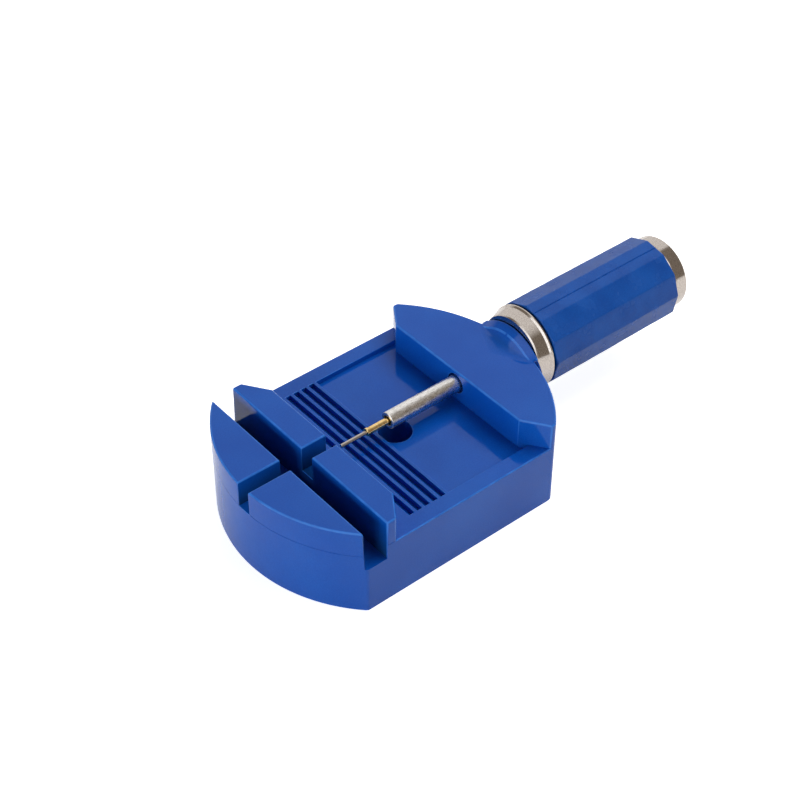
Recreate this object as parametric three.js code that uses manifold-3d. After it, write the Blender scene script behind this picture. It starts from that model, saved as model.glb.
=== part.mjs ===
import * as THREE from 'three';
import Module from 'manifold-3d';
import { mergeVertices } from 'three/addons/utils/BufferGeometryUtils.js';

// Watch link remover: a moulded block holds a watch bracelet between two jaws and a wall,
// and a screw in the wall drives a thin pin that pushes the link pins out.
// Millimetres, +Z up. X runs along the screw, with the jaws at -X and the handle at +X.
// The shape is built about the centre of the block's round plan. The whole tool is then moved
// along X, so that the origin lies under the middle of its length.

// Moulded block: a round plan cut flat on both sides
const blockWidth = 48;
const planRadius = 33.3;
const planCornerRadius = 1.2;
const jawTop = 20.4;
const railTop = 14.55;
const upperInset = 0.3;

// Jaws, counted back from the rounded front of the block
const frontJawDepth = 9.8;
const crossSlotWidth = 5;
const crossSlotFloor = 11.2;
const rearJawSide = 2.15;
const longSlotWidth = 3.2;

// The ends of the rear jaw and of the wall are cut back at a slant
const slantLength = 3.7;
const slantWidth = 5.4;

// Ribbed floor that the bracelet lies on
const railWidth = 3.6;
const floorDepth = 1.1;
const ledgeLength = 2.3;
const ribPitch = 1.91;
const grooveWidth = 1.17;
const grooveCount = 5;
const dropHoleRadius = 3.4;
const dropHoleLand = 0.4;

// Wall that carries the screw, with a flared boss on its rounded back
const wallThickness = 14.9;
const bossAxisHeight = 13.45;
const bossRadius = 10.4;
const bossFlareRadius = 8.4;
const wallHoleRadius = 2.25;
const wallHoleLip = 1.5;

// Screw axis and its fits
const screwHeight = 17.2;
const runningClearance = 0.18;
const threadClearance = 0.15;
const seatClearance = 0.1;
const faceGap = 0.3;
const stopGap = 0.2;

// Threaded guide tube, fixed in the wall, that the handle screws along
const guideThreadRadius = 3;
const guideSpigotRadius = 2.6;
const guideSeatLength = 4.2;
const guideEndClearance = 2.6;

// Spindle, pin holder and push pin
const spindleRadius = 1.77;
const spindleRimChamfer = 0.25;
const spindleHeadRadius = 4.4;
const spindleHeadLength = 3;
const noseBoreRadius = 1.12;
const noseBoreDepth = 8;
const holderRadius = 0.66;
const holderExposed = 5.3;
const holderRootRadius = 0.94;
const holderRootLength = 5;
const holderRootSetback = 1.4;
const holderLipRadius = 0.78;
const holderLipLength = 0.5;
const pinRadius = 0.4;
const pinExposed = 6.1;
const pinSeatDepth = 3;
const pinTipGap = 2.3;
const pinTipRadius = 0.12;

// Handle: plated barrel with a collar, a twelve-sided sleeve and an end cap
const collarRadius = 8.25;
const collarChamfer = 0.4;
const collarLength = 1.5;
const collarFlareLength = 0.95;
const flangeRadius = 9.2;
const flangeLength = 0.7;
const flangeGrooveWidth = 0.15;
const flangeGrooveDepth = 0.25;
const barrelRadius = 6.5;
const barrelThreadLength = 14;
const barrelReliefRadius = 3.5;
const sleeveSides = 12;
const sleeveCornerRadius = 9.4;
const sleeveLength = 35.15;
const sleeveRimChamfer = 0.6;
const sleeveEndChamfer = 0.2;
const capRadius = 8.15;
const capThickness = 3.6;
const capFrontChamfer = 0.35;
const capEdgeRadius = 0.7;
const capStemLength = 2.7;
const handleRestTurn = -5;

// Shape quality, and how far a cut runs past what it cuts
const planArcSteps = 36;
const cornerSteps = 4;
const roundSides = 48;
const smallRoundSides = 24;
const flareSteps = 7;
const edgeSteps = 4;
const cutOverrun = 2;

// Places along X that several pieces share
const halfWidth = blockWidth / 2;
const crossSlotFrontX = -planRadius + frontJawDepth;
const crossSlotRearX = crossSlotFrontX + crossSlotWidth;
const rearJawSideX = crossSlotRearX + rearJawSide;
const rearJawBackX = rearJawSideX + slantLength;
const firstGrooveX = rearJawBackX + ledgeLength;
const floorFrontX = firstGrooveX + grooveCount * ribPitch;
const wallFrontX = planRadius - wallThickness;
const wallSideX = wallFrontX + slantLength;
const bossBackX = planRadius;
const floorLevel = railTop - floorDepth;
const guideSeatX = bossBackX - guideSeatLength;
const collarFrontX = bossBackX + stopGap;
const flareStartX = collarFrontX + collarLength;
const flangeFrontX = flareStartX + collarFlareLength;
const flangeBackX = flangeFrontX + flangeLength;
const sleeveFrontX = flangeBackX + faceGap;
const sleeveBackX = sleeveFrontX + sleeveLength;
const pinTipX = rearJawBackX + pinTipGap;
const holderFrontX = pinTipX + pinExposed;
const spindleFrontX = holderFrontX + holderExposed;
const capFrontX = sleeveBackX + faceGap;
const capBackX = capFrontX + capThickness;
const stemFrontX = capFrontX - capStemLength;
const headBackX = stemFrontX - faceGap;
const headFrontX = headBackX - spindleHeadLength;
const headSeatX = headFrontX - faceGap;
const guideEndX = headSeatX - guideEndClearance;

const wasm = await Module();
wasm.setup();

// Points of an arc in the plane, both ends included
function arcPoints(centreX, centreY, radius, startAngle, endAngle, steps) {
  const points = [];
  for (let step = 0; step <= steps; step += 1) {
    const angle = startAngle + ((endAngle - startAngle) * step) / steps;
    const x = centreX + radius * Math.cos(angle);
    const y = centreY + radius * Math.sin(angle);
    points.push(new THREE.Vector2(x, y));
  }
  return points;
}

// A closed mesh as a solid that can be joined and cut
function toSolid(geometry) {
  const bare = geometry.clone();
  bare.deleteAttribute('normal');
  bare.deleteAttribute('uv');
  const merged = mergeVertices(bare);
  const corners = [];
  const index = merged.index.array;
  for (let i = 0; i < index.length; i += 3) {
    const [a, b, c] = [index[i], index[i + 1], index[i + 2]];
    if (a !== b && b !== c && c !== a) corners.push(a, b, c);
  }
  return new wasm.Manifold(new wasm.Mesh({
    numProp: 3,
    vertProperties: new Float32Array(merged.attributes.position.array),
    triVerts: new Uint32Array(corners),
  }));
}

// A solid back as a geometry with flat faces
function toGeometry(solid) {
  const mesh = solid.getMesh();
  const geometry = new THREE.BufferGeometry();
  geometry.setAttribute('position', new THREE.BufferAttribute(new Float32Array(mesh.vertProperties), 3));
  geometry.setIndex(new THREE.BufferAttribute(new Uint32Array(mesh.triVerts), 1));
  geometry.computeVertexNormals();
  return geometry;
}

// A plan outline raised from one height to another
function prism(points, bottom, top) {
  const settings = { depth: top - bottom, bevelEnabled: false };
  const geometry = new THREE.ExtrudeGeometry(new THREE.Shape(points), settings);
  geometry.translate(0, 0, bottom);
  return toSolid(geometry);
}

// A box between two corners
function boxBetween(x0, x1, y0, y1, z0, z1) {
  const geometry = new THREE.BoxGeometry(x1 - x0, y1 - y0, z1 - z0);
  geometry.translate((x0 + x1) / 2, (y0 + y1) / 2, (z0 + z1) / 2);
  return toSolid(geometry);
}

// A turned shape about the X axis from a closed profile of [x, radius] pairs
function turned(profile, sides) {
  const loop = [...profile, profile[0]];
  let area = 0;
  for (let i = 0; i < profile.length; i += 1) {
    area += loop[i][0] * loop[i + 1][1] - loop[i + 1][0] * loop[i][1];
  }
  const ordered = area < 0 ? loop : loop.reverse();
  const points = ordered.map(([x, radius]) => new THREE.Vector2(radius, x));
  const geometry = new THREE.LatheGeometry(points, sides);
  geometry.rotateZ(-Math.PI / 2);
  return geometry;
}

// A plain cylinder along X
function rod(radius, x0, x1, height) {
  const cutter = turned([[x0, 0], [x0, radius], [x1, radius], [x1, 0]], roundSides);
  cutter.translate(0, 0, height);
  return toSolid(cutter);
}

// Round plan with flat sides and small corner arcs
function planOutline(radius, halfSpan, corner) {
  const cornerY = halfSpan - corner;
  const cornerX = Math.sqrt((radius - corner) ** 2 - cornerY ** 2);
  const turn = Math.atan2(cornerY, cornerX);
  return [
    ...arcPoints(0, 0, radius, -turn, turn, planArcSteps),
    ...arcPoints(cornerX, cornerY, corner, turn, Math.PI / 2, cornerSteps).slice(1),
    ...arcPoints(-cornerX, cornerY, corner, Math.PI / 2, Math.PI - turn, cornerSteps),
    ...arcPoints(0, 0, radius, Math.PI - turn, Math.PI + turn, planArcSteps).slice(1),
    ...arcPoints(-cornerX, -cornerY, corner, Math.PI + turn, Math.PI * 1.5, cornerSteps).slice(1),
    ...arcPoints(cornerX, -cornerY, corner, Math.PI * 1.5, Math.PI * 2 - turn, cornerSteps).slice(0, -1),
  ];
}

// Boss round the screw: above the wall it flares smoothly up to its flat back,
// and below the top of the wall it is a plain round pad
function bossSolid() {
  const startRadius = jawTop - bossAxisHeight;
  const rise = bossRadius - startRadius;
  const run = Math.sqrt(bossFlareRadius ** 2 - (bossFlareRadius - rise) ** 2);
  const startX = bossBackX - run;
  const endAngle = Math.asin(run / bossFlareRadius);
  const flare = [];
  for (let step = 0; step <= flareSteps; step += 1) {
    const angle = (endAngle * step) / flareSteps;
    const radius = startRadius + bossFlareRadius * (1 - Math.cos(angle));
    flare.push([startX + bossFlareRadius * Math.sin(angle), radius]);
  }
  const padFrontX = wallFrontX + wallThickness / 2;
  const horn = turned([[padFrontX, 0], [padFrontX, startRadius], ...flare, [bossBackX, 0]], roundSides);
  horn.translate(0, 0, bossAxisHeight);
  const top = bossAxisHeight + bossRadius + cutOverrun;
  const above = boxBetween(wallFrontX, bossBackX, -halfWidth, halfWidth, jawTop - upperInset, top);
  const below = boxBetween(wallFrontX, bossBackX, -halfWidth, halfWidth, 0, jawTop);
  const pad = rod(bossRadius, padFrontX, bossBackX, bossAxisHeight).intersect(below);
  return toSolid(horn).intersect(above).add(pad);
}

// Everything above the rails between the rear jaw and the wall
function bayOutline() {
  const innerHalf = halfWidth - slantWidth;
  const outside = halfWidth + cutOverrun;
  return [
    [rearJawBackX, -innerHalf], [rearJawSideX, -halfWidth], [rearJawSideX, -outside],
    [wallSideX, -outside], [wallSideX, -halfWidth], [wallFrontX, -innerHalf],
    [wallFrontX, innerHalf], [wallSideX, halfWidth], [wallSideX, outside],
    [rearJawSideX, outside], [rearJawSideX, halfWidth], [rearJawBackX, innerHalf],
  ].map(([x, y]) => new THREE.Vector2(x, y));
}

// Jaws, slots, floor and wall, all cut from one round block
function blockSolid() {
  const upperOutline = planOutline(planRadius - upperInset, halfWidth - upperInset, planCornerRadius);
  const above = jawTop + cutOverrun;
  const overRails = railTop + cutOverrun;
  const side = halfWidth + cutOverrun;
  const floorHalf = halfWidth - railWidth;
  const slotHalf = longSlotWidth / 2;
  const slotBackX = rearJawBackX + ledgeLength / 2;
  const topOfBoss = bossAxisHeight + bossRadius + cutOverrun;

  let solid = prism(planOutline(planRadius, halfWidth, planCornerRadius), 0, railTop);
  solid = solid.add(prism(upperOutline, railTop - upperInset, jawTop));
  solid = solid.add(bossSolid());
  solid = solid.subtract(prism(bayOutline(), railTop, topOfBoss));
  solid = solid.subtract(boxBetween(crossSlotFrontX, crossSlotRearX, -side, side, crossSlotFloor, above));
  solid = solid.subtract(
    boxBetween(-planRadius - cutOverrun, slotBackX, -slotHalf, slotHalf, railTop, above),
  );
  solid = solid.subtract(
    boxBetween(floorFrontX, wallFrontX, -floorHalf, floorHalf, floorLevel, overRails),
  );
  for (let groove = 0; groove < grooveCount; groove += 1) {
    const start = firstGrooveX + groove * ribPitch;
    const end = start + grooveWidth;
    solid = solid.subtract(boxBetween(start, end, -floorHalf, floorHalf, floorLevel, overRails));
  }
  const holeLength = overRails + cutOverrun;
  const dropHole = new THREE.CylinderGeometry(dropHoleRadius, dropHoleRadius, holeLength, roundSides);
  dropHole.rotateX(Math.PI / 2);
  dropHole.translate(floorFrontX + dropHoleLand + dropHoleRadius, 0, railTop / 2);
  solid = solid.subtract(toSolid(dropHole));
  const spigotSeatX = wallFrontX + wallHoleLip;
  solid = solid.subtract(rod(wallHoleRadius, wallFrontX - cutOverrun, guideSeatX, screwHeight));
  solid = solid.subtract(rod(guideSpigotRadius + seatClearance, spigotSeatX, bossBackX, screwHeight));
  const seatRadius = guideThreadRadius + seatClearance;
  return solid.subtract(rod(seatRadius, guideSeatX, bossBackX + cutOverrun, screwHeight));
}

// Tube with a threaded outside; its shoulder sits in the wall and the spindle runs through it
function guideTubeGeometry() {
  const boreRadius = spindleRadius + runningClearance;
  const frontX = wallFrontX + wallHoleLip + seatClearance;
  const shoulderX = guideSeatX + seatClearance;
  return turned([
    [frontX, boreRadius], [frontX, guideSpigotRadius], [shoulderX, guideSpigotRadius],
    [shoulderX, guideThreadRadius], [guideEndX, guideThreadRadius], [guideEndX, boreRadius],
  ], roundSides);
}

// Smooth rod with a hollow nose in front and a head behind that the handle holds
function spindleGeometry() {
  const noseEndX = spindleFrontX + noseBoreDepth;
  return turned([
    [noseEndX, 0], [noseEndX, noseBoreRadius], [spindleFrontX, noseBoreRadius],
    [spindleFrontX, spindleRadius - spindleRimChamfer], [spindleFrontX + spindleRimChamfer, spindleRadius],
    [headFrontX, spindleRadius], [headFrontX, spindleHeadRadius],
    [headBackX, spindleHeadRadius], [headBackX, 0],
  ], roundSides);
}

// Brass holder: a thicker root in the nose, a slim stem and a small lip round the pin
function pinHolderGeometry() {
  const rootFrontX = spindleFrontX + holderRootSetback;
  const rootBackX = rootFrontX + holderRootLength;
  const pinSeatX = holderFrontX + pinSeatDepth + seatClearance;
  const pinBoreRadius = pinRadius + seatClearance / 2;
  const lipBackX = holderFrontX + holderLipLength;
  return turned([
    [pinSeatX, 0], [pinSeatX, pinBoreRadius], [holderFrontX, pinBoreRadius],
    [holderFrontX, holderLipRadius], [lipBackX, holderLipRadius], [lipBackX, holderRadius],
    [rootFrontX, holderRadius], [rootFrontX, holderRootRadius],
    [rootBackX, holderRootRadius], [rootBackX, 0],
  ], smallRoundSides);
}

function pushPinGeometry() {
  const backX = holderFrontX + pinSeatDepth;
  return turned([
    [pinTipX, 0], [pinTipX, pinRadius - pinTipRadius], [pinTipX + pinTipRadius, pinRadius],
    [backX, pinRadius], [backX, 0],
  ], smallRoundSides);
}

// Barrel: collar and flange in front, threaded bore, and a seat for the spindle's head behind
function barrelGeometry() {
  const threadRadius = guideThreadRadius + threadClearance;
  const threadBackX = collarFrontX + barrelThreadLength;
  const seatRadius = spindleHeadRadius + seatClearance;
  const grooveMidX = flangeFrontX + flangeGrooveWidth;
  return turned([
    [collarFrontX, threadRadius], [collarFrontX, collarRadius - collarChamfer],
    [collarFrontX + collarChamfer, collarRadius], [flareStartX, collarRadius],
    [flangeFrontX, flangeRadius], [grooveMidX, flangeRadius - flangeGrooveDepth],
    [grooveMidX + flangeGrooveWidth, flangeRadius], [flangeBackX, flangeRadius],
    [flangeBackX, barrelRadius], [sleeveBackX, barrelRadius],
    [sleeveBackX, seatRadius], [headSeatX, seatRadius],
    [headSeatX, barrelReliefRadius], [threadBackX, barrelReliefRadius], [threadBackX, threadRadius],
  ], roundSides);
}

// Sleeve: a twelve-sided tube whose corners run out into a round rim at the collar
function sleeveSolid() {
  const corners = [];
  for (let side = 0; side < sleeveSides; side += 1) {
    const angle = (side * 2 * Math.PI) / sleeveSides;
    corners.push(new THREE.Vector2(Math.cos(angle), Math.sin(angle)).multiplyScalar(sleeveCornerRadius));
  }
  const settings = { depth: sleeveLength, bevelEnabled: false };
  const faceted = new THREE.ExtrudeGeometry(new THREE.Shape(corners), settings);
  faceted.rotateX(Math.PI / 2);
  faceted.rotateZ(Math.PI / 2);
  faceted.translate(sleeveFrontX, 0, 0);
  const rimBackX = sleeveFrontX + sleeveRimChamfer;
  const tailFrontX = sleeveBackX - sleeveEndChamfer;
  const outer = sleeveCornerRadius + cutOverrun;
  const envelope = turned([
    [sleeveFrontX, 0], [sleeveFrontX, sleeveCornerRadius - sleeveRimChamfer],
    [rimBackX, sleeveCornerRadius], [rimBackX + cutOverrun, outer], [tailFrontX - cutOverrun, outer],
    [tailFrontX, sleeveCornerRadius], [sleeveBackX, sleeveCornerRadius - sleeveEndChamfer],
    [sleeveBackX, 0],
  ], roundSides);
  const boreRadius = barrelRadius + seatClearance;
  const inside = rod(boreRadius, sleeveFrontX - cutOverrun, sleeveBackX + cutOverrun, 0);
  return toSolid(faceted).intersect(toSolid(envelope)).subtract(inside);
}

// Cap: a thick disc with a rounded rim and a stem that clamps the spindle's head
function capGeometry() {
  const rim = arcPoints(
    capBackX - capEdgeRadius, capRadius - capEdgeRadius, capEdgeRadius, Math.PI / 2, 0, edgeSteps,
  );
  return turned([
    [stemFrontX, 0], [stemFrontX, spindleHeadRadius], [capFrontX, spindleHeadRadius],
    [capFrontX, capRadius - capFrontChamfer], [capFrontX + capFrontChamfer, capRadius],
    ...rim.map((point) => [point.x, point.y]), [capBackX, 0],
  ], roundSides);
}

const bluePlastic = new THREE.MeshStandardMaterial({ color: 0x2b57a0, roughness: 0.42, metalness: 0 });
const blueGrip = new THREE.MeshStandardMaterial({ color: 0x2a56a4, roughness: 0.5, metalness: 0 });
const nickel = new THREE.MeshStandardMaterial({ color: 0xcdc6c0, roughness: 0.18, metalness: 1 });
const groundSteel = new THREE.MeshStandardMaterial({ color: 0xb9b9bb, roughness: 0.3, metalness: 1 });
const brass = new THREE.MeshStandardMaterial({ color: 0xd8a850, roughness: 0.25, metalness: 1 });

function piece(name, geometry, material) {
  const mesh = new THREE.Mesh(geometry, material);
  mesh.name = name;
  return mesh;
}

const screw = new THREE.Group();
screw.position.set(0, 0, screwHeight);
screw.add(piece('guide_tube', guideTubeGeometry(), groundSteel));
screw.add(piece('pin_holder', pinHolderGeometry(), brass));
screw.add(piece('push_pin', pushPinGeometry(), groundSteel));

const handle = new THREE.Group();
handle.rotation.x = THREE.MathUtils.degToRad(handleRestTurn);
handle.add(piece('spindle', spindleGeometry(), nickel));
handle.add(piece('handle_barrel', barrelGeometry(), nickel));
handle.add(piece('grip_sleeve', toGeometry(sleeveSolid()), blueGrip));
handle.add(piece('end_cap', capGeometry(), nickel));
screw.add(handle);

// The block's front and the cap's back end up equally far from the origin
const linkRemover = new THREE.Group();
linkRemover.position.x = (planRadius - capBackX) / 2;
linkRemover.add(piece('block', toGeometry(blockSolid()), bluePlastic));
linkRemover.add(screw);

export default linkRemover;
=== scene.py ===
import math
import bpy
import bmesh
from mathutils import Matrix, Vector


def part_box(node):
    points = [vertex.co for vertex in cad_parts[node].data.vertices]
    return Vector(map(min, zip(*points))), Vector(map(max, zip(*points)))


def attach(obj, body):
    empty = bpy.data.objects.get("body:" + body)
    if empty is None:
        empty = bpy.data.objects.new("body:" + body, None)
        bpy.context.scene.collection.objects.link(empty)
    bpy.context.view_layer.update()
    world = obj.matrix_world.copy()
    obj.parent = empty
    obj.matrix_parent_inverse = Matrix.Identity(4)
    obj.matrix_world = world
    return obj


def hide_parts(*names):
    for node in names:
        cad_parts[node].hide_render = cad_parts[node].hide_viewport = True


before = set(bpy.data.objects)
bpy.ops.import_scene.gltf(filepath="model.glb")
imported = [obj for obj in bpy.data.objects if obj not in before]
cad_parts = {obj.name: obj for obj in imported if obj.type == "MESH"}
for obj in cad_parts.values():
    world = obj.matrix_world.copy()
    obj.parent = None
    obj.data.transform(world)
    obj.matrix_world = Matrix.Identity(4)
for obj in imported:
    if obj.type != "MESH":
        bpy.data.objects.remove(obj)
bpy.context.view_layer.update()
print("link remover: frame loaded")

# Shapes are built in millimetres about the middle of the block's round plan, then put in the frame
mm = 0.001
blockLow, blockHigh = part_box("block")
planMiddle = (blockLow.x + blockHigh.x) / 2
toFrame = Matrix.Translation((planMiddle, 0, 0)) @ Matrix.Scale(mm, 4)
pinLow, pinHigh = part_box("push_pin")
screwHeight = (pinLow.z + pinHigh.z) / 2 / mm


def ends(node):
    # where a node starts and ends along the screw
    low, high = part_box(node)
    return (low.x - planMiddle) / mm, (high.x - planMiddle) / mm


def radiusOf(node):
    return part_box(node)[1].y / mm


# Camera: the photograph's own view, 800 x 800
camera = {
    "lens": 81.18, "sensor": 36, "nearest": 0.01, "farthest": 20,
    "heading": 50.528, "tilt": 41.655, "place": (-161.41, -201.15, 252.58),
}


def makeCamera():
    data = bpy.data.cameras.new("camera")
    data.lens = camera["lens"]
    data.sensor_width = camera["sensor"]
    data.clip_start = camera["nearest"]
    data.clip_end = camera["farthest"]
    item = bpy.data.objects.new("camera", data)
    heading, tilt = math.radians(camera["heading"]), math.radians(camera["tilt"])
    level = math.cos(tilt)
    look = Vector((level * math.cos(heading), level * math.sin(heading), -math.sin(tilt)))
    item.location = toFrame @ Vector(camera["place"])
    item.rotation_euler = look.to_track_quat("-Z", "Y").to_euler()
    bpy.context.scene.collection.objects.link(item)
    bpy.context.scene.camera = item


makeCamera()
print("camera made")


# Materials

def newMaterial(name):
    material = bpy.data.materials.new(name)
    material.use_nodes = True
    tree = material.node_tree
    return material, tree, tree.nodes["Principled BSDF"]


def grain(tree, size, stretch=(1, 1, 1), detail=2.0, roughness=0.5):
    # noise in the piece's own coordinates, with grains of a size in millimetres
    place = tree.nodes.new("ShaderNodeTexCoord")
    mapping = tree.nodes.new("ShaderNodeMapping")
    mapping.inputs["Scale"].default_value = [1 / axis for axis in stretch]
    noise = tree.nodes.new("ShaderNodeTexNoise")
    noise.inputs["Scale"].default_value = 1 / (size * mm)
    noise.inputs["Detail"].default_value = detail
    noise.inputs["Roughness"].default_value = roughness
    tree.links.new(place.outputs["Object"], mapping.inputs["Vector"])
    tree.links.new(mapping.outputs["Vector"], noise.inputs["Vector"])
    return noise.outputs["Fac"]


def spread(tree, value, low, high, start=0.3, end=0.7):
    # a grain turned into a range of values
    ranged = tree.nodes.new("ShaderNodeMapRange")
    ranged.inputs["From Min"].default_value = start
    ranged.inputs["From Max"].default_value = end
    ranged.inputs["To Min"].default_value = low
    ranged.inputs["To Max"].default_value = high
    tree.links.new(value, ranged.inputs["Value"])
    return ranged.outputs["Result"]


def calculate(tree, operation, first, second=None):
    node = tree.nodes.new("ShaderNodeMath")
    node.operation = operation
    for socket, value in enumerate((first, second)):
        if isinstance(value, (int, float)):
            node.inputs[socket].default_value = value
        elif value is not None:
            tree.links.new(value, node.inputs[socket])
    return node.outputs[0]


def colourBetween(tree, value, first, second):
    # a colour is three numbers or the output of another node
    mix = tree.nodes.new("ShaderNodeMix")
    mix.data_type = "RGBA"
    for socket, colour in (("A", first), ("B", second)):
        if isinstance(colour, tuple):
            mix.inputs[socket].default_value = (*colour, 1)
        else:
            tree.links.new(colour, mix.inputs[socket])
    tree.links.new(value, mix.inputs["Factor"])
    return mix.outputs["Result"]


def relief(tree, value, depth, below=None):
    # bump of a depth in millimetres, on top of another bump
    bump = tree.nodes.new("ShaderNodeBump")
    bump.inputs["Distance"].default_value = depth * mm
    tree.links.new(value, bump.inputs["Height"])
    if below is not None:
        tree.links.new(below, bump.inputs["Normal"])
    return bump.outputs["Normal"]


plastic = {
    "blue": (0.002, 0.073, 0.405),
    "blueLight": (0.005, 0.094, 0.460),
    # the painted highlight's colour, along rounded edges and the boss's lip
    "paintedHighlightBlue": (0.037, 0.2, 0.68),
    # the painted shade's colour, in the slots and the boss's hollow
    "paintedShadeBlue": (0.004, 0.038, 0.13),
    "speck": 0.48,
    # how much a grain breaks up the painted highlight
    "highlightBreakup": (0.55, 1),
    "gloss": (0.05, 0.13),
    "specular": 0.25,
    "cloudSize": 14.0,
    "glossSize": 2.5,
    "grainSize": 0.3,
    "grainDepth": 0.0012,
    "waveSize": 6.0,
    "waveDepth": 0.012,
}
# the grip's softer plastic is smudged and less even
softPlastic = {
    **plastic,
    "blue": (0.003, 0.061, 0.31),
    "blueLight": (0.006, 0.084, 0.38),
    "gloss": (0.12, 0.32),
    "specular": 0.2,
    "cloudSize": 5.0,
    "glossSize": 3.5,
    "grainDepth": 0.0015,
    "waveSize": 4.0,
    "waveDepth": 0.03,
}


def marked(tree, name):
    # a share from 0 to 1 that the mesh carries
    mark = tree.nodes.new("ShaderNodeAttribute")
    mark.attribute_name = name
    return mark.outputs["Fac"]


def bluePlastic(name, settings):
    material, tree, shader = newMaterial(name)
    cloud = spread(tree, grain(tree, settings["cloudSize"]), 0, 1)
    specks = grain(tree, settings["grainSize"], detail=3.0)
    specks = spread(tree, specks, -settings["speck"], settings["speck"])
    cloud = calculate(tree, "ADD", cloud, specks)
    colour = colourBetween(tree, cloud, settings["blue"], settings["blueLight"])
    # painted highlight: paler blue along rounded edges and the boss's lip, broken up by a grain
    highlightBreakup = spread(tree, grain(tree, settings["glossSize"]), *settings["highlightBreakup"])
    edge = calculate(tree, "MULTIPLY", marked(tree, "painted_highlight"), highlightBreakup)
    colour = colourBetween(tree, edge, colour, settings["paintedHighlightBlue"])
    # painted shade: darker blue in the slots and the boss's hollow
    colour = colourBetween(tree, marked(tree, "painted_shade"), colour, settings["paintedShadeBlue"])
    tree.links.new(colour, shader.inputs["Base Color"])
    low, high = settings["gloss"]
    tree.links.new(spread(tree, grain(tree, settings["glossSize"]), low, high), shader.inputs["Roughness"])
    shader.inputs["Specular IOR Level"].default_value = settings["specular"]
    wave = relief(tree, grain(tree, settings["waveSize"], detail=1.0), settings["waveDepth"])
    fine = grain(tree, settings["grainSize"], detail=1.0)
    tree.links.new(relief(tree, fine, settings["grainDepth"], wave), shader.inputs["Normal"])
    return material


def platedMetal(name, settings):
    material, tree, shader = newMaterial(name)
    shader.inputs["Metallic"].default_value = 1
    tone = grain(tree, settings["toneSize"], settings["stretch"])
    colour = colourBetween(tree, spread(tree, tone, 0, 1), settings["colour"], settings["shade"])
    tree.links.new(colour, shader.inputs["Base Color"])
    low, high = settings["gloss"]
    streak = grain(tree, settings["streakSize"], settings["stretch"], detail=3.0)
    tree.links.new(spread(tree, streak, low, high), shader.inputs["Roughness"])
    tree.links.new(relief(tree, streak, settings["streakDepth"]), shader.inputs["Normal"])
    return material


nickel = {
    "colour": (0.62, 0.56, 0.51), "shade": (0.43, 0.375, 0.335), "gloss": (0.09, 0.19),
    "toneSize": 0.2, "streakSize": 0.14, "streakDepth": 0.0022, "stretch": (0.7, 1.6, 1.6),
}
groundNickel = {
    "colour": (0.98, 0.95, 0.92), "shade": (0.56, 0.53, 0.50), "gloss": (0.22, 0.40),
    "toneSize": 0.3, "streakSize": 0.12, "streakDepth": 0.014, "stretch": (3, 1, 1),
}
goldenBrass = {
    "colour": (1.0, 0.76, 0.38), "shade": (0.72, 0.46, 0.15), "gloss": (0.13, 0.2),
    "toneSize": 0.6, "streakSize": 0.1, "streakDepth": 0.0015, "stretch": (1, 4, 4),
}
pinWire = {
    "colour": (0.58, 0.52, 0.47), "shade": (0.43, 0.38, 0.34), "gloss": (0.25, 0.4),
    "toneSize": 0.5, "streakSize": 0.08, "streakDepth": 0.001, "stretch": (8, 1, 1),
}
turnedSteel = {
    "colour": (0.50, 0.50, 0.51), "shade": (0.38, 0.38, 0.39), "gloss": (0.22, 0.4),
    "toneSize": 0.8, "streakSize": 0.1, "streakDepth": 0.001, "stretch": (1, 4, 4),
}

blockPlastic = bluePlastic("block plastic", plastic)
gripPlastic = bluePlastic("grip plastic", softPlastic)
nickelPlate = platedMetal("nickel plate", nickel)
spindleNickel = platedMetal("ground nickel", groundNickel)
holderBrass = platedMetal("holder brass", goldenBrass)
pinSteel = platedMetal("pin steel", pinWire)
guideSteel = platedMetal("guide steel", turnedSteel)
print("materials made")


# Mesh helpers

touching = 0.0005  # points this close are one point
onCut = 0.003  # this close to the middle is on it


def meshFrom(name, points, faces):
    mesh = bpy.data.meshes.new(name)
    mesh.from_pydata(points, [], faces)
    edit = bmesh.new()
    edit.from_mesh(mesh)
    bmesh.ops.remove_doubles(edit, verts=edit.verts, dist=touching)
    bmesh.ops.dissolve_degenerate(edit, edges=edit.edges, dist=touching)
    bmesh.ops.recalc_face_normals(edit, faces=edit.faces)
    edit.to_mesh(mesh)
    edit.free()
    return mesh


def arc(centre, radius, start, end, steps):
    # angles in degrees, both ends included
    points = []
    for step in range(steps + 1):
        angle = math.radians(start + (end - start) * step / steps)
        points.append((centre[0] + radius * math.cos(angle), centre[1] + radius * math.sin(angle)))
    return points


def rounded(corners, steps=5, most=0.48):
    # a closed outline of (x, y, rounding), with an arc at each corner that has a rounding;
    # an arc takes up at most that share of a side
    points = []
    for index, (x, y, rounding) in enumerate(corners):
        here = Vector((x, y))
        if not rounding:
            points.append(here)
            continue
        back = Vector(corners[index - 1][:2]) - here
        on = Vector(corners[(index + 1) % len(corners)][:2]) - here
        half = back.angle(on) / 2
        reach = min(rounding / math.tan(half), most * back.length, most * on.length)
        middle = here + (back.normalized() + on.normalized()).normalized() * (reach / math.cos(half))
        first = here + back.normalized() * reach - middle
        turn = first.angle_signed(here + on.normalized() * reach - middle)
        for step in range(steps + 1):
            points.append(middle + Matrix.Rotation(-turn * step / steps, 2) @ first)
    return [(point.x, point.y) for point in points]


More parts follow.
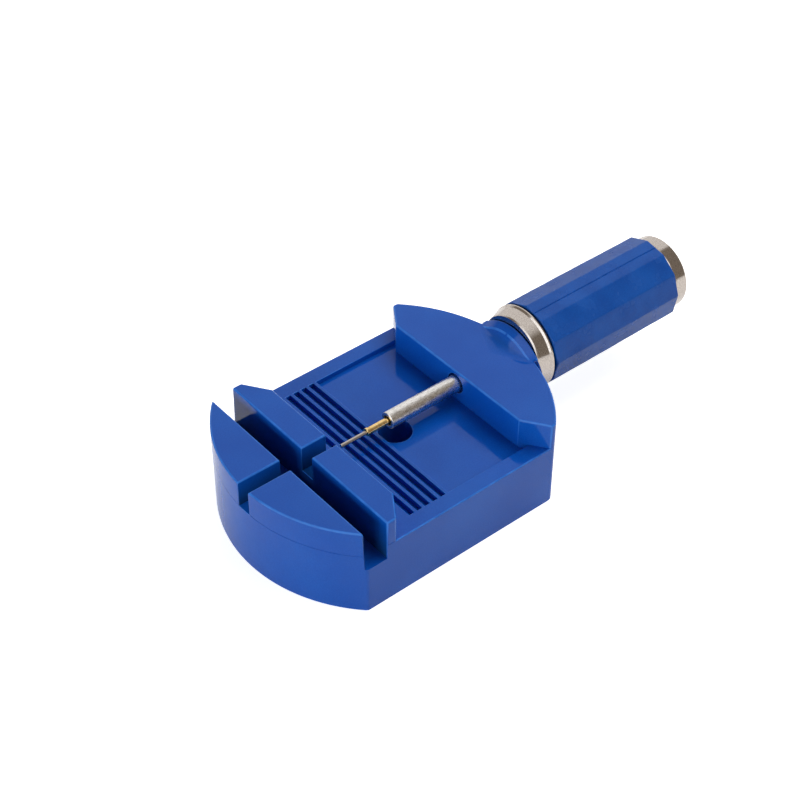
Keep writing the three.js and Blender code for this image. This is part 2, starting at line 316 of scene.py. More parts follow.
def turned(name, profile, sides):
    # a shape turned about the screw from a closed outline of (x, radius)
    points, rings = [], []
    for x, radius in profile:
        if radius < touching:
            rings.append([len(points)] * sides)
            points.append((x, 0, screwHeight))
            continue
        rings.append([len(points) + side for side in range(sides)])
        for side in range(sides):
            angle = 2 * math.pi * side / sides
            points.append((x, radius * math.cos(angle), screwHeight + radius * math.sin(angle)))
    faces = []
    for index, ring in enumerate(rings):
        after = rings[(index + 1) % len(rings)]
        for side in range(sides):
            beside = (side + 1) % sides
            corners = []
            for corner in (ring[side], after[side], after[beside], ring[beside]):
                if corner not in corners:
                    corners.append(corner)
            if len(corners) > 2:
                faces.append(corners)
    return meshFrom(name, points, faces)


def prism(name, outline, bottom, top):
    count = len(outline)
    points = [(x, y, bottom) for x, y in outline] + [(x, y, top) for x, y in outline]
    faces = [list(range(count))[::-1], [count + index for index in range(count)]]
    for index in range(count):
        beside = (index + 1) % count
        faces.append([index, beside, count + beside, count + index])
    return meshFrom(name, points, faces)


def boxMesh(name, x0, x1, y0, y1, bottom, top):
    return prism(name, [(x0, y0), (x1, y0), (x1, y1), (x0, y1)], bottom, top)


def rod(name, radius, x0, x1, sides=96):
    return turned(name, [(x0, 0), (x0, radius), (x1, radius), (x1, 0)], sides)


def combine(mesh, other, how):
    # joins or cuts two meshes
    first = bpy.data.objects.new("first", mesh)
    second = bpy.data.objects.new("second", other)
    for item in (first, second):
        bpy.context.scene.collection.objects.link(item)
    modifier = first.modifiers.new("join or cut", "BOOLEAN")
    modifier.operation = how
    modifier.solver = "MANIFOLD"
    modifier.object = second
    bpy.context.view_layer.update()
    seen = bpy.context.evaluated_depsgraph_get()
    result = bpy.data.meshes.new_from_object(first.evaluated_get(seen))
    for item in (first, second):
        bpy.data.objects.remove(item)
    return result


def applied(mesh, kind, settings):
    # the mesh after one modifier
    item = bpy.data.objects.new("item", mesh)
    bpy.context.scene.collection.objects.link(item)
    modifier = item.modifiers.new(kind, kind)
    for key, value in settings.items():
        setattr(modifier, key, value)
    bpy.context.view_layer.update()
    result = bpy.data.meshes.new_from_object(item.evaluated_get(bpy.context.evaluated_depsgraph_get()))
    bpy.data.objects.remove(item)
    return result


def markPaintedHighlight(mesh, isWorn):
    # faces along the rounded edges and on the boss's lip, painted paler as a painted highlight
    marks = mesh.attributes.new("painted_highlight", "FLOAT", "POINT")
    shares = [1.0] * len(mesh.vertices)
    for face in mesh.polygons:
        if not isWorn(face):
            for point in face.vertices:
                shares[point] = 0.0
    for point, share in enumerate(shares):
        marks.data[point].value = share


def markPaintedShade(mesh, near=0.05):
    # painted shade, a darker blue put into the colour: the slots' walls darker towards their floor, the
    # long slot's floor beside the cross slot, and the hollow of the boss
    marks = mesh.attributes.new("painted_shade", "FLOAT", "CORNER")
    crossStart, crossEnd = block["crossSlot"]
    slotHalf = block["longSlot"] / 2
    for face in mesh.polygons:
        x, y, z = face.center
        across = any(abs(x - side) < near for side in block["crossSlot"])
        along = abs(abs(y) - slotHalf) < near and x < block["rearJaw"][1]
        upright, level = abs(face.normal.z) < 2 * near, face.normal.z > 1 - near / 5
        inSlot = upright and z > block["crossSlotFloor"] and (across or along)
        onFloor = level and abs(z - block["railTop"]) < near
        depth = block["jawTop"] - block["railTop" if along else "crossSlotFloor"]
        for corner in face.loop_indices:
            place = mesh.vertices[mesh.loops[corner].vertex_index].co
            below = block["jawTop"] - place.z
            besideCross = crossStart - 1 < place.x < crossEnd + 1
            if inSlot:
                marks.data[corner].value = min(1, below / depth)
            elif onFloor and besideCross and abs(place.y) < slotHalf + near:
                marks.data[corner].value = block["floorShade"]
            elif below < 0 and boss["start"] < place.x < boss["lipFrom"]:
                marks.data[corner].value = boss["shade"] * min(1, -below, boss["lipFrom"] - place.x)


def finishPiece(name, mesh, body, node, material, sharpAngle=32):
    mesh.name = name
    mesh.transform(toFrame)
    mesh.shade_smooth()
    mesh.set_sharp_from_angle(angle=math.radians(sharpAngle))
    mesh = applied(mesh, "WEIGHTED_NORMAL", {"keep_sharp": True, "weight": 100})
    mesh.materials.clear()
    mesh.materials.append(material)
    piece = bpy.data.objects.new(name, mesh)
    bpy.context.scene.collection.objects.link(piece)
    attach(piece, body)
    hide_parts(node)


# Block: base, jaws, slots, ribbed floor and wall

block = {
    "corner": 1.2, "railTop": 14.55, "jawTop": 20.4,
    "crossSlot": (-23.5, -18.5), "crossSlotFloor": 11.2, "longSlot": 3.2,
    "rearJaw": (-16.35, -12.65), "wall": (18.4, 22.1), "slantWidth": 5.4,
    "railWidth": 3.6, "floorLevel": 13.45, "firstGroove": -10.35, "grooves": 5,
    "groovePitch": 1.91, "grooveWidth": 1.17, "floorFront": -0.8,
    "dropHole": 3.4, "dropHolePlace": 3.0, "screwHole": 2.25, "guideSeat": 3.1, "guideSeatFront": 29.2,
    "root": 0.6, "over": 3.0,
    "topRound": 0.42, "sideRound": 0.42, "ribRound": 0.16, "footRound": 0.45, "railRound": 0.26,
    "holeRound": 0.2, "seatRound": 0.12, "ledgeShare": 0.4, "roundedFrom": 28,
    # floorShade: share of painted shade on the long slot's floor beside the cross slot
    "floorShade": 0.85, "arcSteps": 31, "cornerSteps": 6, "holeSteps": 96,
    "partingLevel": 14.55, "partingWidth": 0.09, "partingDepth": 0.05,
}
boss = {
    "height": 13.45, "front": 25.85, "start": 27.25, "flare": 5.6, "steep": 55, "lip": 0.6, "cone": 36,
    "rim": 0.5, "rimSlope": 8, "radius": 10.4, "steps": 26, "padFront": 31.2, "blend": 1.4,
    # shade: share of painted shade in the boss's hollow
    "lipSteps": 4, "lipFrom": 31.55, "lipTo": 32.2, "lipInside": 8.9, "shade": 0.35, "sides": 144,
}


def planOutline(radius, halfSpan, corner):
    # two arcs and two straight sides, seen from above
    cornerY = halfSpan - corner
    cornerX = math.sqrt((radius - corner) ** 2 - cornerY ** 2)
    turn = math.degrees(math.atan2(cornerY, cornerX))
    steps, few = block["arcSteps"], block["cornerSteps"]
    return (
        arc((0, 0), radius, -turn, turn, steps)
        + arc((cornerX, cornerY), corner, turn, 90, few)[1:]
        + arc((-cornerX, cornerY), corner, 90, 180 - turn, few)
        + arc((0, 0), radius, 180 - turn, 180 + turn, steps)[1:]
        + arc((-cornerX, -cornerY), corner, 180 + turn, 270, few)[1:]
        + arc((cornerX, -cornerY), corner, 270, 360 - turn, few)[:-1]
    )


def bossMesh(planRadius):
    # round below the top of the wall, and above it a horn that flares up to the flat back
    sides, lipSteps = boss["sides"], boss["lipSteps"]
    flat = block["jawTop"] - boss["height"]
    stations = [(boss["front"], flat)]
    # hollow flare up to a lip, then a cone and a rounded rim, with the slope in degrees
    slope, x, horn = 0, boss["start"], flat
    stations.append((x, horn))
    bends = (boss["steep"], boss["flare"], boss["steps"]), (boss["cone"], -boss["lip"], lipSteps)
    for target, radius, steps in bends:
        for step in range(steps):
            turn = math.radians((target - slope) / (steps - step))
            middle = math.radians(slope) + turn / 2
            x += abs(radius * turn) * math.cos(middle)
            horn += abs(radius * turn) * math.sin(middle)
            slope += math.degrees(turn)
            stations.append((x, horn))
    # the cone runs on until the rim's arc fits
    rimRun = boss["rim"] * (math.sin(math.radians(slope)) - math.sin(math.radians(boss["rimSlope"])))
    coneRun = planRadius - rimRun - x
    x, horn = x + coneRun, horn + coneRun * math.tan(math.radians(slope))
    stations.append((x, horn))
    for step in range(lipSteps):
        turn = math.radians((boss["rimSlope"] - slope) / (lipSteps - step))
        middle = math.radians(slope) + turn / 2
        x += abs(boss["rim"] * turn) * math.cos(middle)
        horn += abs(boss["rim"] * turn) * math.sin(middle)
        slope += math.degrees(turn)
        stations.append((x, horn))
    stations[-1] = (planRadius, horn)

    points, faces = [], []
    for x, horn in stations:
        for side in range(sides):
            angle = 2 * math.pi * side / sides
            rising = math.sin(angle)
            level = flat / rising if rising > 0 else 2 * boss["radius"]
            radius = min(boss["radius"], horn) if x > boss["padFront"] else boss["radius"]
            if level < boss["radius"]:
                blend = boss["blend"] * min(1, horn - flat)
                apart = abs(horn - level)
                radius = max(horn, level)
                if apart < blend:
                    radius += (blend - apart) ** 2 / (4 * blend)
            points.append((x, radius * math.cos(angle), boss["height"] + radius * rising))
    for ring in range(len(stations) - 1):
        for side in range(sides):
            beside = (side + 1) % sides
            start = ring * sides
            faces.append([start + side, start + beside, start + sides + beside, start + sides + side])
    faces.append(list(range(sides)))
    faces.append([(len(stations) - 1) * sides + side for side in range(sides)])
    return meshFrom("boss", points, faces)


def joinedFlats(mesh, near=0.002, flat=0.4):
    # flat faces made whole again after the cuts, as an open edit
    edit = bmesh.new()
    edit.from_mesh(mesh)
    bmesh.ops.remove_doubles(edit, verts=edit.verts, dist=near)
    bmesh.ops.dissolve_limit(
        edit, angle_limit=math.radians(flat), verts=edit.verts, edges=edit.edges, delimit=set())
    bmesh.ops.dissolve_degenerate(edit, edges=edit.edges, dist=near)
    return edit


def edgeRounding(middle, planRadius, halfWidth, near=0.01, loose=0.1):
    # each kind of edge has its own rounding, told by where the middle of the edge lies
    fromScrew = math.hypot(middle.y, middle.z - screwHeight)
    fromBoss = math.hypot(middle.y, middle.z - boss["height"])
    fromHole = math.hypot(middle.x - block["dropHolePlace"], middle.y)
    floorHalf = halfWidth - block["railWidth"]
    if middle.z < near:
        return block["footRound"]
    if abs(middle.z - block["crossSlotFloor"]) < near:
        return 0
    if fromScrew < block["guideSeat"] + loose:
        return block["seatRound"]
    if fromHole < block["dropHole"] + near:
        return block["holeRound"]
    if middle.z > block["jawTop"] - near or middle.x > planRadius - near:
        if middle.z < block["jawTop"] - near:
            # the step beside the boss runs out to nothing
            ledge = planRadius - math.sqrt(max(0, planRadius ** 2 - middle.y ** 2))
            return min(block["topRound"], block["ledgeShare"] * ledge)
        onBoss = fromBoss < boss["radius"] + 2 * loose and middle.x > boss["start"]
        return 0 if onBoss else block["topRound"]
    if middle.z > block["railTop"] - near:
        if abs(middle.y) < floorHalf + loose:
            return block["ribRound"]
        if middle.z < block["railTop"] + near:
            return block["railRound"]
    return block["sideRound"]


def roundEdges(mesh, planRadius, halfWidth):
    # rounds one half of the block and mirrors it
    widest = max(block["footRound"], block["topRound"])
    edit = joinedFlats(mesh)
    for point in edit.verts:
        if abs(point.co.y) < onCut:
            point.co.y = 0
    weights = edit.edges.layers.float.new("bevel_weight_edge")
    for edge in edit.edges:
        middle = (edge.verts[0].co + edge.verts[1].co) / 2
        if len(edge.link_faces) != 2 or middle.y < onCut:
            continue
        if edge.calc_face_angle_signed() > math.radians(block["roundedFrom"]):
            edge[weights] = edgeRounding(middle, planRadius, halfWidth) / widest
    edit.to_mesh(mesh)
    edit.free()
    # the second slot only tells the rounded faces from the others, for the painted highlight
    mesh.materials.append(blockPlastic)
    mesh.materials.append(blockPlastic)
    mesh = applied(mesh, "BEVEL", {
        "limit_method": "WEIGHT", "width": widest, "segments": 3, "use_clamp_overlap": False,
        "miter_outer": "MITER_ARC", "material": 1,
    })

    # the rounded faces and the boss's lip get the painted highlight
    def paler(face, clear=0.1):
        x, y, z = face.center
        outside = math.hypot(y, z - boss["height"]) > boss["lipInside"]
        above = z > block["jawTop"] + clear
        onLip = boss["lipFrom"] < x < boss["lipTo"] and above and outside
        return face.material_index == 1 or onLip

    markPaintedHighlight(mesh, paler)
    edit = bmesh.new()
    edit.from_mesh(mesh)
    cutFaces = [face for face in edit.faces if all(abs(point.co.y) < onCut for point in face.verts)]
    bmesh.ops.delete(edit, geom=cutFaces, context="FACES")
    edit.to_mesh(mesh)
    edit.free()
    return applied(mesh, "MIRROR", {
        "use_axis": (False, True, False), "use_clip": True, "merge_threshold": onCut,
    })


def partingCutter(planRadius, halfWidth):
    # a thin ring that cuts the line where the mould's halves met
    bottom = block["partingLevel"]
    top = bottom + block["partingWidth"]
    depth = block["partingDepth"]
    outer = prism("ring", planOutline(planRadius + 1, halfWidth + 1, block["corner"]), bottom, top)
    inner = planOutline(planRadius - depth, halfWidth - depth, block["corner"])
    return combine(outer, prism("core", inner, bottom - 1, top + 1), "DIFFERENCE")


def makeBlock():
    planRadius = (blockHigh.x - blockLow.x) / 2 / mm
    halfWidth = blockHigh.y / mm
    over, top = block["over"], block["jawTop"] + block["over"]
    root = block["floorLevel"] - block["root"]
    floorHalf = halfWidth - block["railWidth"]
    innerHalf = halfWidth - block["slantWidth"]
    slotHalf = block["longSlot"] / 2
    jawSide, jawBack = block["rearJaw"]
    wallFront, wallSide = block["wall"]
    outside = halfWidth + over

    # what stands above the rails: jaws and wall
    plan = planOutline(planRadius, halfWidth, block["corner"])
    lands = prism("lands", plan, root, block["jawTop"])
    bay = [
        (jawBack, -innerHalf), (jawSide, -halfWidth), (jawSide, -outside), (wallSide, -outside),
        (wallSide, -halfWidth), (wallFront, -innerHalf), (wallFront, innerHalf), (wallSide, halfWidth),
        (wallSide, outside), (jawSide, outside), (jawSide, halfWidth), (jawBack, innerHalf),
    ]
    lands = combine(lands, prism("bay", bay, root - over, top), "DIFFERENCE")
    slot = boxMesh("slot", -planRadius - over, 0, -slotHalf, slotHalf, root - over, top)
    lands = combine(lands, slot, "DIFFERENCE")

    # the base with its ribbed floor and drop hole
    base = prism("base", plan, 0, block["railTop"])
    recessBack = wallFront + over / 2
    recess = boxMesh(
        "recess", block["floorFront"], recessBack, -floorHalf, floorHalf, block["floorLevel"], top)
    base = combine(base, recess, "DIFFERENCE")
    for groove in range(block["grooves"]):
        start = block["firstGroove"] + groove * block["groovePitch"]
        end = start + block["grooveWidth"]
        cut = boxMesh("groove", start, end, -floorHalf, floorHalf, block["floorLevel"], top)
        base = combine(base, cut, "DIFFERENCE")
    rim = arc((block["dropHolePlace"], 0), block["dropHole"], 0, 360, block["holeSteps"])[:-1]
    base = combine(base, prism("drop hole", rim, -over, top), "DIFFERENCE")

    mesh = combine(base, lands, "UNION")
    crossSlot = boxMesh("cross slot", *block["crossSlot"], -outside, outside, block["crossSlotFloor"], top)
    mesh = combine(mesh, crossSlot, "DIFFERENCE")
    mesh = combine(mesh, bossMesh(planRadius), "UNION")
    mesh = combine(mesh, rod("screw hole", block["screwHole"], wallFront - over, planRadius), "DIFFERENCE")
    seat = rod("guide seat", block["guideSeat"], block["guideSeatFront"], planRadius + over)
    mesh = combine(mesh, seat, "DIFFERENCE")
    # one half is rounded and then mirrored
    half = boxMesh("half", -planRadius - over, planRadius + over, 0, outside, -over, 2 * top)
    mesh = combine(mesh, half, "INTERSECT")
    mesh = roundEdges(mesh, planRadius, halfWidth)
    mesh = combine(mesh, partingCutter(planRadius, halfWidth), "DIFFERENCE")
    edit = joinedFlats(mesh)
    edit.to_mesh(mesh)
    edit.free()
    # painted shade in the slots and the boss's hollow
    markPaintedShade(mesh)
    finishPiece("moulded_block", mesh, "base", "block", blockPlastic, sharpAngle=40)


makeBlock()
print("block made")


# Guide tube: the screw thread that the handle runs along

guide = {
    "pitch": 1.0, "depth": 0.55, "rootShare": 0.22, "flankShare": 0.32, "fade": 0.8,
    "bore": 1.95, "spigotEnd": 29.2, "spigot": 2.6, "sides": 72, "perTurn": 10,
}


def threadHeight(phase):
    # share of the thread's depth along one turn: root, flank, crest, flank
    rootShare, flankShare = guide["rootShare"], guide["flankShare"]
    if phase < rootShare:
        return 0
    if phase < rootShare + flankShare:
        return (phase - rootShare) / flankShare
    if phase < 1 - flankShare:
        return 1
    return (1 - phase) / flankShare


def makeGuide():
    front, back = ends("guide_tube")
    crest = radiusOf("guide_tube")
    start = guide["spigotEnd"]
    sides, perTurn = guide["sides"], guide["perTurn"]
    step = guide["pitch"] / perTurn
    rows = int((back - start) / step)
    points, faces = [], []
    for row in range(-perTurn, rows + 1):
        for side in range(sides):
            x = start + (row + perTurn * side / sides) * step
            x = min(max(x, start), back)
            fade = min(1, (x - start) / guide["fade"], (back - x) / guide["fade"])
            drop = guide["depth"] * (1 - threadHeight((row % perTurn) / perTurn) * fade)
            angle = 2 * math.pi * side / sides
            radius = crest - drop
            points.append((x, radius * math.cos(angle), screwHeight - radius * math.sin(angle)))
    total = rows + 1 + perTurn
    for row in range(total - 1):
        for side in range(sides):
            here = row * sides + side
            if side < sides - 1:
                faces.append([here, here + 1, here + 1 + sides, here + sides])
            elif row + perTurn + 1 < total:
                low = (row + perTurn) * sides
                faces.append([here, low, low + sides, here + sides])
    thread = meshFrom("thread", points, faces)
    edit = bmesh.new()
    edit.from_mesh(thread)
    bmesh.ops.holes_fill(edit, edges=[edge for edge in edit.edges if edge.is_boundary], sides=0)
    bmesh.ops.recalc_face_normals(edit, faces=edit.faces)
    edit.to_mesh(thread)
    edit.free()
    spigot = rod("spigot", guide["spigot"], front, start + 2 * guide["pitch"], sides)
    mesh = combine(thread, spigot, "UNION")
    bore = rod("bore", guide["bore"], front - guide["pitch"], back + guide["pitch"], sides)
    mesh = combine(mesh, bore, "DIFFERENCE")
    finishPiece("threaded_guide", mesh, "base", "guide_tube", guideSteel)


makeGuide()
print("guide tube made")


# Push pin, brass holder and spindle

pin = {"tipRound": 0.14, "sides": 40}
holder = {
    "stem": 0.73, "root": 0.94, "rootFront": 2.45, "lip": 0.84, "lipLength": 0.5,
    "pinBore": 0.45, "pinSeat": 3.1, "edge": 0.08, "sides": 48,
}
spindle = {
    "rod": 1.77, "nose": 1.12, "noseDepth": 8.0, "rim": 0.22, "head": 4.4, "headFront": 66.4,
    "edge": 0.15, "sides": 96,
}


def makePin():
    front, back = ends("push_pin")
    radius = radiusOf("push_pin")
    outline = [(front, 0, 0), (front, radius, pin["tipRound"]), (back, radius, 0), (back, 0, 0)]
    mesh = turned("pin", rounded(outline), pin["sides"])
    finishPiece("steel_push_pin", mesh, "pusher", "push_pin", pinSteel)


def makeHolder():
    front, back = ends("pin_holder")
    seat = front + holder["pinSeat"]
    lipBack = front + holder["lipLength"]
    edge = holder["edge"]
    outline = [
        (seat, 0, 0), (seat, holder["pinBore"], 0), (front, holder["pinBore"], edge),
        (front, holder["lip"], edge), (lipBack, holder["lip"], edge), (lipBack, holder["stem"], edge / 2),
        (holder["rootFront"], holder["stem"], edge / 2), (holder["rootFront"], holder["root"], edge),
        (back, holder["root"], edge), (back, 0, 0),
    ]
    mesh = turned("holder", rounded(outline), holder["sides"])
    finishPiece("brass_pin_holder", mesh, "pusher", "pin_holder", holderBrass)


def makeSpindle():
    front, back = ends("spindle")
    noseEnd = front + spindle["noseDepth"]
    rim, edge = spindle["rim"], spindle["edge"]
    outline = [
        (noseEnd, 0, 0), (noseEnd, spindle["nose"], 0), (front, spindle["nose"], rim / 2),
        (front, spindle["rod"], rim), (spindle["headFront"], spindle["rod"], edge),
        (spindle["headFront"], spindle["head"], edge), (back, spindle["head"], edge), (back, 0, 0),
    ]
    mesh = turned("spindle", rounded(outline), spindle["sides"])
    finishPiece("hollow_spindle", mesh, "handle", "spindle", spindleNickel)


makePin()
makeHolder()
makeSpindle()
print("pin, holder and spindle made")


# Handle: barrel with collar and flange, grip sleeve, end cap

barrel = {
    "bore": 3.15, "collar": 8.2, "collarEnd": 36.1, "collarBack": 8.84, "grooveEnd": 36.22,
    "grooveDepth": 0.05, "flange": 9.1, "flangeStart": 36.6, "flangeEnd": 36.9, "body": 6.5,
    "seat": 4.5, "seatFront": 66.1, "relief": 3.5, "threadEnd": 47.5,
    "chamfer": 0.17, "chamferLength": 0.32, "edge": 0.1, "sides": 144,
}
sleeve = {
    "sides": 12, "corner": 9.4, "firstCorner": 25.0, "cornerRound": 0.75, "cornerSteps": 6,
    "flatSteps": 4, "bore": 6.6, "gap": 0.45, "rings": 24,
    "rimRadius": 8.75, "rimLength": 0.62, "rimCurve": 1.6, "rimSteps": 14,
    "tail": 1.0, "tailRound": 0.22, "tailSteps": 5,
    "seamFacets": (3, 9), "seamWidth": 0.34,
    # across a seam: share of its half width, and height
    "seam": ((-1, 0), (-0.35, -0.10), (0.15, 0), (0.5, 0.07), (1, 0)),
    # slight unevenness: depth, and two waves as (per millimetre along, per turn round)
    "wave": 0.03, "waves": ((0.55, 2), (0.31, -3)),
}
cap = {
    "gap": 0.42, "stem": 4.4, "stemRound": 0.11, "chamfer": 0.22, "chamferLength": 0.4,
    "frontRound": 0.06, "chamferRound": 0.1, "edge": 0.45, "dish": 0.12, "dishEdge": 6.4,
    "dishSlope": 0.4, "dishRound": 0.2, "steps": 7, "sides": 144,
}


def makeBarrel():
    front, back = ends("handle_barrel")
    edge = barrel["edge"]
    grooveFloor = barrel["collarBack"] - barrel["grooveDepth"]
    chamfer = barrel["chamfer"]
    outline = [
        (front, barrel["bore"], edge), (front, barrel["collar"] - chamfer, edge / 2),
        (front + barrel["chamferLength"], barrel["collar"], edge),
        (barrel["collarEnd"], barrel["collarBack"], edge / 2),
        ((barrel["collarEnd"] + barrel["grooveEnd"]) / 2, grooveFloor, edge / 3),
        (barrel["grooveEnd"], barrel["collarBack"], edge / 2),
        (barrel["flangeStart"], barrel["flange"], edge),
        (barrel["flangeEnd"], barrel["flange"], edge), (barrel["flangeEnd"], barrel["body"], edge),
        (back, barrel["body"], edge), (back, barrel["seat"], 0), (barrel["seatFront"], barrel["seat"], 0),
        (barrel["seatFront"], barrel["relief"], 0), (barrel["threadEnd"], barrel["relief"], 0),
        (barrel["threadEnd"], barrel["bore"], 0),
    ]
    mesh = turned("barrel", rounded(outline), barrel["sides"])
    finishPiece(
        "plated_barrel", mesh, "handle", "handle_barrel", nickelPlate, sharpAngle=28)


def sleeveSection():
    # angle and radius round the twelve sides, with rounded corners and the two mould seams
    half = 180 / sleeve["sides"]
    flat = sleeve["corner"] * math.cos(math.radians(half))
    centre = (flat - sleeve["cornerRound"]) / math.cos(math.radians(half))
    touch = math.degrees(math.atan2(centre * math.sin(math.radians(half)), flat))
    seamHalf = math.degrees(sleeve["seamWidth"] / 2 / flat)
    flatSteps, cornerSteps = sleeve["flatSteps"], sleeve["cornerSteps"]
    section = []
    for side in range(sleeve["sides"]):
        middle = sleeve["firstCorner"] + (side - 0.5) * 2 * half
        hasSeam = side in sleeve["seamFacets"]
        for step in range(-flatSteps, flatSteps + 1):
            off = touch * step / flatSteps
            if step or not hasSeam:
                section.append((middle + off, flat / math.cos(math.radians(off))))
        if hasSeam:
            for share, height in sleeve["seam"]:
                section.append((middle + share * seamHalf, flat + height))
        for step in range(1, cornerSteps):
            off = touch + (2 * half - 2 * touch) * step / cornerSteps
            inner = math.radians(half - off)
            reach = centre * math.cos(inner)
            across = centre * math.sin(inner)
            section.append((middle + off, reach + math.sqrt(sleeve["cornerRound"] ** 2 - across ** 2)))
    return sorted(section)


def makeSleeve():
    front, back = barrel["flangeEnd"] + sleeve["gap"], ends("grip_sleeve")[1]
    halfway = (front + back) / 2
    corner, rim, tailRound = sleeve["corner"], sleeve["rimRadius"], sleeve["tailRound"]
    section = sleeveSection()
    # along the sleeve: the turned rim, the straight middle and the rounded tail
    stations = []
    for step in range(sleeve["rimSteps"] + 1):
        share = step / sleeve["rimSteps"]
        envelope = rim + (corner - rim) * math.sin(share * math.pi / 2)
        stations.append((front + sleeve["rimLength"] * share ** sleeve["rimCurve"], envelope))
    straight = back - front - sleeve["tail"]
    for step in range(1, sleeve["rings"]):
        stations.append((front + sleeve["rimLength"] + straight * step / sleeve["rings"], corner))
    for x, radius in arc((back - tailRound, 0), tailRound, 90, 0, sleeve["tailSteps"]):
        stations.append((x, corner - tailRound + radius))
    points, faces = [], []
    (along, round1), (alongToo, round2) = sleeve["waves"]
    for x, envelope in stations:
        for angle, radius in section:
            turn = math.radians(angle)
            reach = min(radius, envelope) if x < halfway else radius - (corner - envelope)
            wave = math.sin(along * x + round1 * turn) * math.cos(alongToo * x + round2 * turn)
            reach -= sleeve["wave"] * (1 + wave)
            points.append((x, reach * math.cos(turn), screwHeight + reach * math.sin(turn)))
    bore = sleeve["bore"]
    for x in (back, front):
        for angle, radius in section:
            turn = math.radians(angle)
            points.append((x, bore * math.cos(turn), screwHeight + bore * math.sin(turn)))
    rings, sides = len(stations) + 2, len(section)
    for ring in range(rings):
        here, after = ring * sides, (ring + 1) % rings * sides
        for side in range(sides):
            beside = (side + 1) % sides
            faces.append([here + side, after + side, after + beside, here + beside])
    mesh = meshFrom("sleeve", points, faces)
    finishPiece(
        "twelve_sided_grip", mesh, "handle", "grip_sleeve", gripPlastic, sharpAngle=34)


def makeCap():
    front, back = ends("end_cap")
    radius = radiusOf("end_cap")
    capFront = ends("grip_sleeve")[1] + cap["gap"]
    dishFloor = back - cap["dish"]
    outline = [
        (front, 0, 0), (front, cap["stem"], cap["stemRound"]), (capFront, cap["stem"], 0),
        (capFront, radius - cap["chamfer"], cap["frontRound"]),
        (capFront + cap["chamferLength"], radius, cap["chamferRound"]), (back, radius, cap["edge"]),
        (back, cap["dishEdge"], cap["dishRound"]),
        (dishFloor, cap["dishEdge"] - cap["dishSlope"], cap["dishRound"]), (dishFloor, 0, 0),
    ]
    mesh = turned("cap", rounded(outline, cap["steps"]), cap["sides"])
    finishPiece("plated_end_cap", mesh, "handle", "end_cap", nickelPlate, sharpAngle=28)


makeBarrel()
makeSleeve()
makeCap()
print("handle made")


# Floor, world and lamps

studio = {
    "floor": (0.86, 0.86, 0.86), "floorSize": 6.0, "floorRoughness": 0.9,
    "floorGlow": 0.8, "floorMirrored": 0.34, "sky": 0.05,
    # what shines in the plastic and the metal, between two compass angles, and how high it fades
    "paper": (15, 98), "softbox": (155, 245), "roomEdge": 3.0, "roomTop": (54, 86),
    "white": (1.0, 1.0, 1.0), "softboxLight": (1.9, 2.0, 2.1), "room": (0.27, 0.235, 0.20),
}
# places and sizes in metres, power in watts
lamps = {
    "back lamp": {"place": (0.42, 0.14, 0.80), "size": (0.9, 0.7), "power": 6.3},
    "side lamp": {"place": (0.50, -0.50, 0.60), "size": (0.9, 0.7), "power": 2.9},
    "front lamp": {"place": (-0.88, -0.20, 0.19), "size": (0.7, 0.32), "power": 5.5},
}


def makeFloor():
    half = studio["floorSize"] / 2
    mesh = bpy.data.meshes.new("floor")
    corners = [(-half, -half, 0), (half, -half, 0), (half, half, 0), (-half, half, 0)]
    mesh.from_pydata(corners, [], [[0, 1, 2, 3]])
    floor = bpy.data.objects.new("floor", mesh)
    bpy.context.scene.collection.objects.link(floor)
    material, tree, shader = newMaterial("pale floor")
    shader.inputs["Base Color"].default_value = (*studio["floor"], 1)
    shader.inputs["Roughness"].default_value = studio["floorRoughness"]
    shader.inputs["Specular IOR Level"].default_value = 0
    seen = tree.nodes.new("ShaderNodeLightPath")
    mirrored = calculate(tree, "MULTIPLY", seen.outputs["Is Glossy Ray"], studio["floorMirrored"])
    straight = calculate(tree, "MULTIPLY", seen.outputs["Is Camera Ray"], studio["floorGlow"])
    glow = calculate(tree, "ADD", straight, mirrored)
    shader.inputs["Emission Color"].default_value = (*studio["white"], 1)
    tree.links.new(glow, shader.inputs["Emission Strength"])
    mesh.materials.append(material)


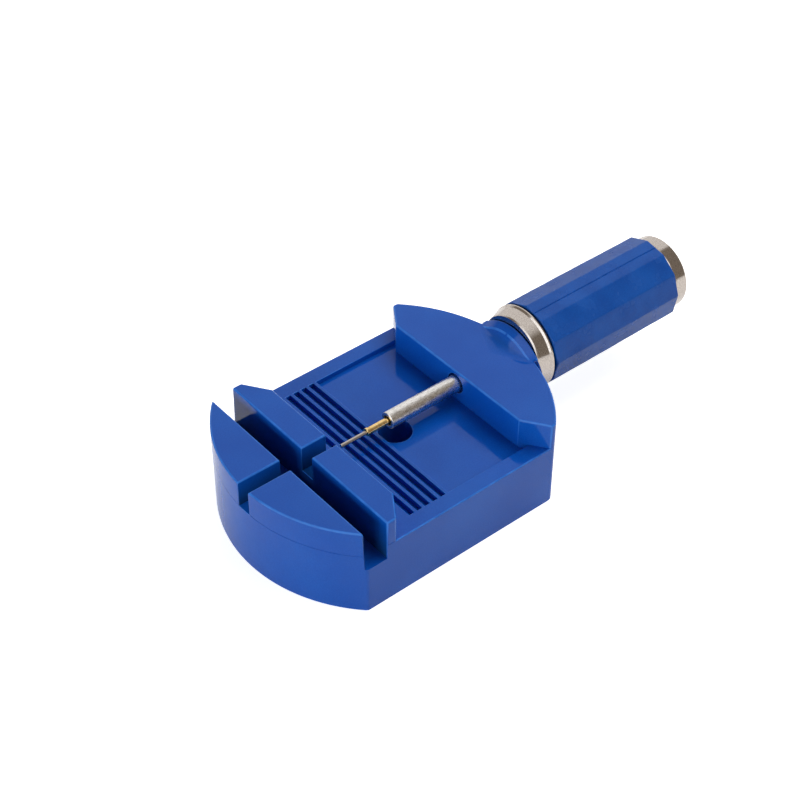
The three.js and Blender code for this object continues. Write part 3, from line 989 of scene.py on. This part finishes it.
def makeWorld():
    # white to the eye; in the gloss there is paper behind the tool, a softbox and a dim room
    world = bpy.data.worlds.new("studio")
    bpy.context.scene.world = world
    world.use_nodes = True
    tree = world.node_tree
    sky = tree.nodes["Background"]
    seen = tree.nodes.new("ShaderNodeLightPath")
    direct = calculate(tree, "MAXIMUM", seen.outputs["Is Camera Ray"], seen.outputs["Is Glossy Ray"])
    tree.links.new(spread(tree, direct, studio["sky"], 1, 0, 1), sky.inputs["Strength"])
    place = tree.nodes.new("ShaderNodeTexCoord")
    axes = tree.nodes.new("ShaderNodeSeparateXYZ")
    tree.links.new(place.outputs["Generated"], axes.inputs["Vector"])
    edge = math.radians(studio["roomEdge"])
    shares = []
    for bright in (studio["paper"], studio["softbox"]):
        first, last = (math.radians(angle) for angle in bright)
        middle, half = (first + last) / 2, (last - first) / 2
        turn = (math.cos(middle), math.sin(middle))
        along = calculate(tree, "ADD", *(
            calculate(tree, "MULTIPLY", axes.outputs[axis], share) for axis, share in zip("XY", turn)))
        across = calculate(tree, "SUBTRACT", *(
            calculate(tree, "MULTIPLY", axes.outputs[axis], share) for axis, share in zip("YX", turn)))
        aside = calculate(tree, "ABSOLUTE", calculate(tree, "ARCTAN2", across, along))
        shares.append(spread(tree, aside, 0, 1, half - edge, half + edge))
    beside = calculate(tree, "MULTIPLY", *shares)
    dimmest, lightest = (math.sin(math.radians(angle)) for angle in studio["roomTop"])
    below = spread(tree, axes.outputs["Z"], 1, 0, dimmest, lightest)
    inGloss = calculate(tree, "MULTIPLY", below, seen.outputs["Is Glossy Ray"])
    dim = calculate(tree, "MULTIPLY", beside, inGloss)
    lit = calculate(tree, "MULTIPLY", calculate(tree, "SUBTRACT", 1, shares[1]), inGloss)
    colour = colourBetween(tree, lit, studio["white"], studio["softboxLight"])
    tree.links.new(colourBetween(tree, dim, colour, studio["room"]), sky.inputs["Color"])


def makeLamp(name, settings):
    data = bpy.data.lights.new(name, "AREA")
    data.shape = "RECTANGLE"
    data.size, data.size_y = settings["size"]
    data.energy = settings["power"]
    lamp = bpy.data.objects.new(name, data)
    lamp.location = settings["place"]
    lamp.visible_glossy = False
    lamp.rotation_euler = (-Vector(settings["place"])).to_track_quat("-Z", "Y").to_euler()
    bpy.context.scene.collection.objects.link(lamp)


makeFloor()
makeWorld()
for name, settings in lamps.items():
    makeLamp(name, settings)
bpy.context.scene.view_settings.view_transform = "Standard"
print("studio made")
